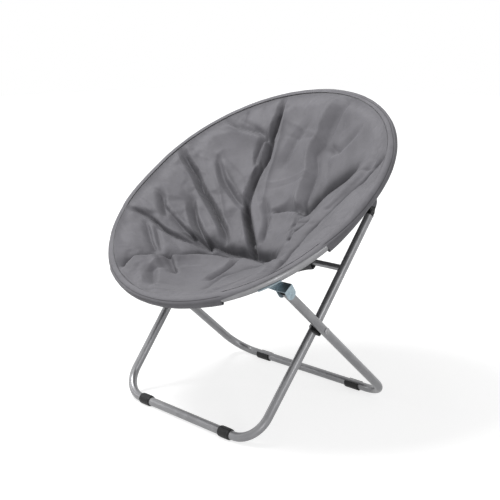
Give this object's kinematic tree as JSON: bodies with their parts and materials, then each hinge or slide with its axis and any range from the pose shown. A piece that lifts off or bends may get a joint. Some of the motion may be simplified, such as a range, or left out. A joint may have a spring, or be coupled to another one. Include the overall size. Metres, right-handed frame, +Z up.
{
  "type": "folding saucer chair",
  "caption": "Round padded bucket seat on a tilted tubular ring, carried by crossed U-shaped tube legs that fold flat against the ring.",
  "frame": {"origin": "on the floor under the centre of the chair's box", "axes": "+Z up, the chair faces -Y, +X to the sitter's left"},
  "size_m": [0.7568, 0.6705, 0.7942],
  "materials": {
    "seat_cloth": "brushed microfibre, grey",
    "dark_cloth": "woven backing, dark grey",
    "silver_tube": "silver-grey powder coat",
    "plated_steel": "plated",
    "zinc_steel": "zinc-plated sheet",
    "black_plastic": "moulded black"
  },
  "bodies": {
    "front_legs": {"front_leg_tube": "silver_tube", "cross_bar": "silver_tube", "cross_bar_loop": "dark_cloth", "scissor_rivets": "plated_steel", "scissor_washers": "plated_steel", "saddle_spacers": "black_plastic", "leg_top_caps": "black_plastic", "front_foot_clips": "black_plastic"},
    "rear_legs": {"rear_leg_tube": "silver_tube", "rear_leg_plugs": "black_plastic", "rear_foot_clips": "black_plastic"},
    "seat_frame": {"hinge_bracket_left": "zinc_steel", "hinge_bracket_right": "zinc_steel", "bracket_screws": "plated_steel", "bracket_pins": "plated_steel", "bracket_washers": "black_plastic", "front_hoop": "silver_tube", "back_hoop": "silver_tube", "hoop_spigots": "zinc_steel", "hoop_screws": "plated_steel", "back_strut_left": "silver_tube", "back_strut_right": "silver_tube", "strut_shoes": "black_plastic", "strut_sleeves": "seat_cloth", "front_rim_sleeve": "seat_cloth", "back_rim_sleeve": "seat_cloth", "rim_piping": "dark_cloth", "seat_bowl": "seat_cloth"}
  },
  "joints": [
    {"name": "rear_leg_fold", "type": "hinge", "parent": "front_legs", "child": "rear_legs", "pos_m": [0, -0.02566, 0.25374], "axis": [1, 0, 0], "range_deg": [-87.6, 0]},
    {"name": "seat_fold", "type": "hinge", "parent": "rear_legs", "child": "seat_frame", "pos_m": [0, -0.1573, 0.37186], "axis": [1, 0, 0], "range_deg": [0, 103.5], "deforming": ["seat_bowl"]}
  ],
  "couplings": [
    {"joint": "seat_fold", "follows": "rear_leg_fold", "ratio": -1.1815}
  ]
}
